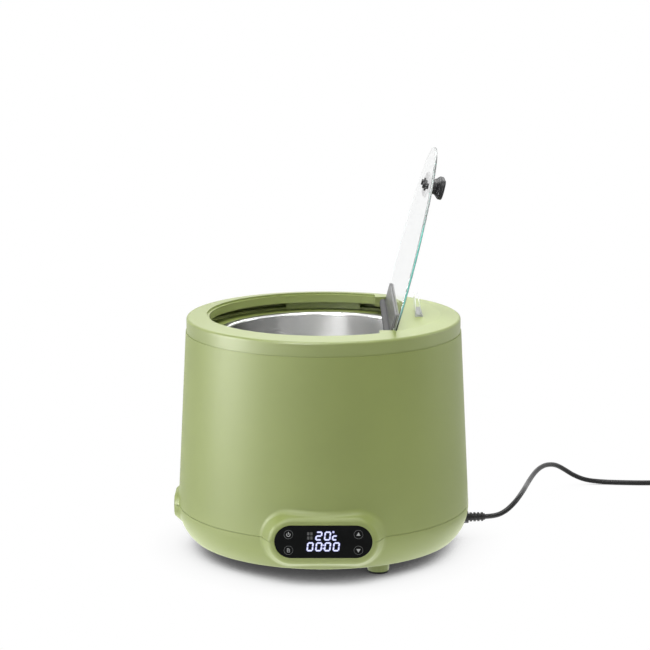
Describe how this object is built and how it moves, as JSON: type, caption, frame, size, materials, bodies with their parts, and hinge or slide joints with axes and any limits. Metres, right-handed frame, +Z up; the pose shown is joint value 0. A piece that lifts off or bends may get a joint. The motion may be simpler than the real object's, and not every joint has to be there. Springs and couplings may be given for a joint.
{
  "type": "electric pot warmer",
  "caption": "Round electric food or wax warmer: moulded casing, deep steel insert pot, lift-off top ring with hinged glass lid, touch display and mains lead.",
  "frame": {"origin": "on the pot's axis at the floor", "axes": "+Z up along the pot's axis, -Y towards the display, +X towards the hinge and the lead"},
  "size_m": [0.757, 0.468, 0.4875],
  "materials": {
    "casing_plastic": "satin green moulded plastic",
    "base_plastic": "satin green moulded plastic",
    "ring_plastic": "satin green moulded plastic",
    "foot_rubber": "matt",
    "seal_rubber": "matt",
    "guard_plastic": "satin",
    "screw_steel": "zinc plated",
    "screw_black": "black oxide",
    "washer_plastic": "black nylon",
    "pot_steel": "polished stainless",
    "well_steel": "pressed stainless",
    "shield_steel": "pressed sheet",
    "plate_aluminium": "cast",
    "element_steel": "dark heat-treated",
    "sensor_metal": "satin",
    "hinge_steel": "satin stainless",
    "rod_steel": "polished",
    "lid_glass": "clear tempered",
    "handle_plastic": "satin black",
    "card_plastic": "clear",
    "panel_plastic": "gloss black",
    "inner_plastic": "plain",
    "board_laminate": "solder mask",
    "led_plastic": "smoked",
    "relay_plastic": "plain",
    "transformer_core": "laminated core",
    "cord_sheath": "satin black sheath",
    "relief_plastic": "matt black",
    "tie_plastic": "plain",
    "plug_plastic": "satin black",
    "pin_brass": "nickel plated"
  },
  "bodies": {
    "housing": {"base_pan": "base_plastic", "base_screw_1": "screw_steel", "base_screw_2": "screw_steel", "base_screw_3": "screw_steel", "base_screw_4": "screw_steel", "clamp_nut_1": "screw_steel", "clamp_nut_2": "screw_steel", "clip_screw_1": "screw_steel", "clip_screw_2": "screw_steel", "coil_tie": "tie_plastic", "cord_coil": "cord_sheath", "cord_strain_relief": "relief_plastic", "display_board": "board_laminate", "display_carrier": "inner_plastic", "display_panel": "panel_plastic", "display_screws": "screw_steel", "element_clamp": "shield_steel", "filter_capacitor": "relay_plastic", "foot_pad_1": "foot_rubber", "foot_pad_2": "foot_rubber", "foot_pad_3": "foot_rubber", "heat_shield": "shield_steel", "heater_plate": "plate_aluminium", "heating_element": "element_steel", "heating_well": "well_steel", "inner_lead": "cord_sheath", "led_module": "led_plastic", "mains_plug": "plug_plastic", "outer_body": "casing_plastic", "plug_pin_1": "pin_brass", "plug_pin_2": "pin_brass", "power_board": "board_laminate", "power_board_screws": "screw_steel", "power_cord": "cord_sheath", "power_relay": "relay_plastic", "power_transformer": "transformer_core", "sensor_clip_1": "shield_steel", "sensor_clip_2": "shield_steel", "temperature_probe": "sensor_metal", "terminal_block": "inner_plastic", "thermal_cutout": "sensor_metal", "touch_key_posts": "inner_plastic", "well_screws": "screw_steel"},
    "inner_pot": {"inner_pot": "pot_steel"},
    "lid_ring": {"top_ring": "ring_plastic", "hinge_rod": "rod_steel", "card_holder": "card_plastic"},
    "glass_lid": {"lid_glass": "lid_glass", "hinge_leaf": "hinge_steel", "leaf_pad": "seal_rubber", "glass_edge_guard": "guard_plastic", "lid_handle": "handle_plastic", "handle_gasket": "seal_rubber", "screw_washer_1": "washer_plastic", "screw_washer_2": "washer_plastic", "handle_screw_1": "screw_black", "handle_screw_2": "screw_black"}
  },
  "joints": [
    {"name": "pot_lift", "type": "slide", "parent": "housing", "child": "inner_pot", "axis": [0, 0, 1], "range_m": [0, 0.21]},
    {"name": "ring_lift", "type": "slide", "parent": "inner_pot", "child": "lid_ring", "axis": [0, 0, 1], "range_m": [0, 0.1]},
    {"name": "lid_swing", "type": "hinge", "parent": "lid_ring", "child": "glass_lid", "pos_m": [0.0745, 0, 0.2815], "axis": [0, -1, 0], "range_deg": [0, 104.4]}
  ]
}
